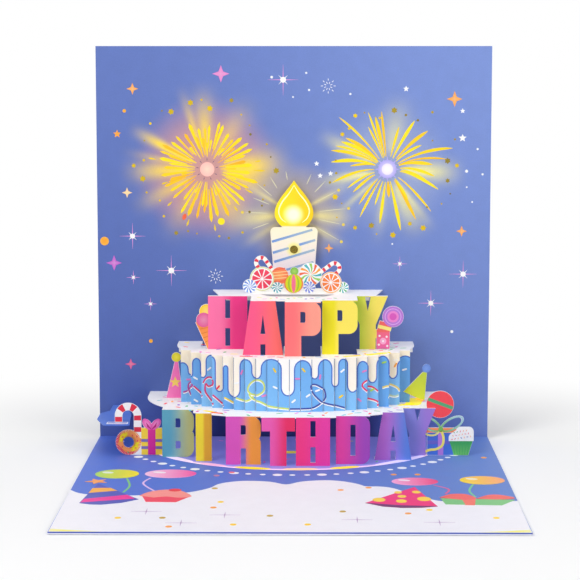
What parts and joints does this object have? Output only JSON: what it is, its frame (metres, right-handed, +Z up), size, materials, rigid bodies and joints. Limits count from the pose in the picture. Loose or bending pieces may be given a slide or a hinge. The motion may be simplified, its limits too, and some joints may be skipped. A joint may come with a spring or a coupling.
{
  "type": "pop up card",
  "caption": "Square pop-up greeting card standing open at a right angle, with a tiered paper cake, lit candle and fireworks, and small party pieces on folded struts.",
  "frame": {"origin": "under the middle of the open card, on the surface it stands on", "axes": "+Z up, +X along the spine fold to the viewer's right, the viewer looks along +Y"},
  "size_m": [0.18, 0.1844, 0.1809],
  "materials": {
    "cover": "uncoated white card",
    "liner": "printed blue card",
    "core": "white foam board",
    "circuit_board": "green solder mask",
    "lights": "clear warm lamp",
    "speaker": "black",
    "cell_clip": "white moulding",
    "cells": "brushed",
    "switch": "black",
    "microphone": "brass-toned can",
    "tier_paper": "printed white card",
    "icing_paper": "printed blue card",
    "top_paper": "printed card, warm colours",
    "candle_paper": "printed card",
    "spacer_foam": "foam pad",
    "sweets_paper": "printed card",
    "ice_paper": "printed card",
    "lolly_paper": "printed card",
    "pink_paper": "printed card",
    "green_paper": "printed card",
    "ball_paper": "printed card",
    "left_paper": "printed card",
    "right_paper": "printed card",
    "strut_paper": "printed blue card"
  },
  "bodies": {
    "root": {"cover": "cover", "liner": "liner", "core": "core", "circuit_board": "circuit_board", "light_left": "lights", "light_right": "lights", "light_flame": "lights", "speaker": "speaker", "cell_clip": "cell_clip", "button_cell_1": "cells", "button_cell_2": "cells", "button_cell_3": "cells", "slide_switch": "switch", "microphone": "microphone", "lower_tier": "tier_paper", "middle_tier": "icing_paper", "upper_tier": "top_paper", "candle": "candle_paper", "candle_spacer": "spacer_foam", "sweets": "sweets_paper", "ice_cream": "ice_paper", "lollipop": "lolly_paper", "pink_hat": "pink_paper", "green_hat": "green_paper", "ball": "ball_paper", "left_standee": "left_paper", "right_standee": "right_paper", "left_strut": "strut_paper"}
  },
  "joints": []
}
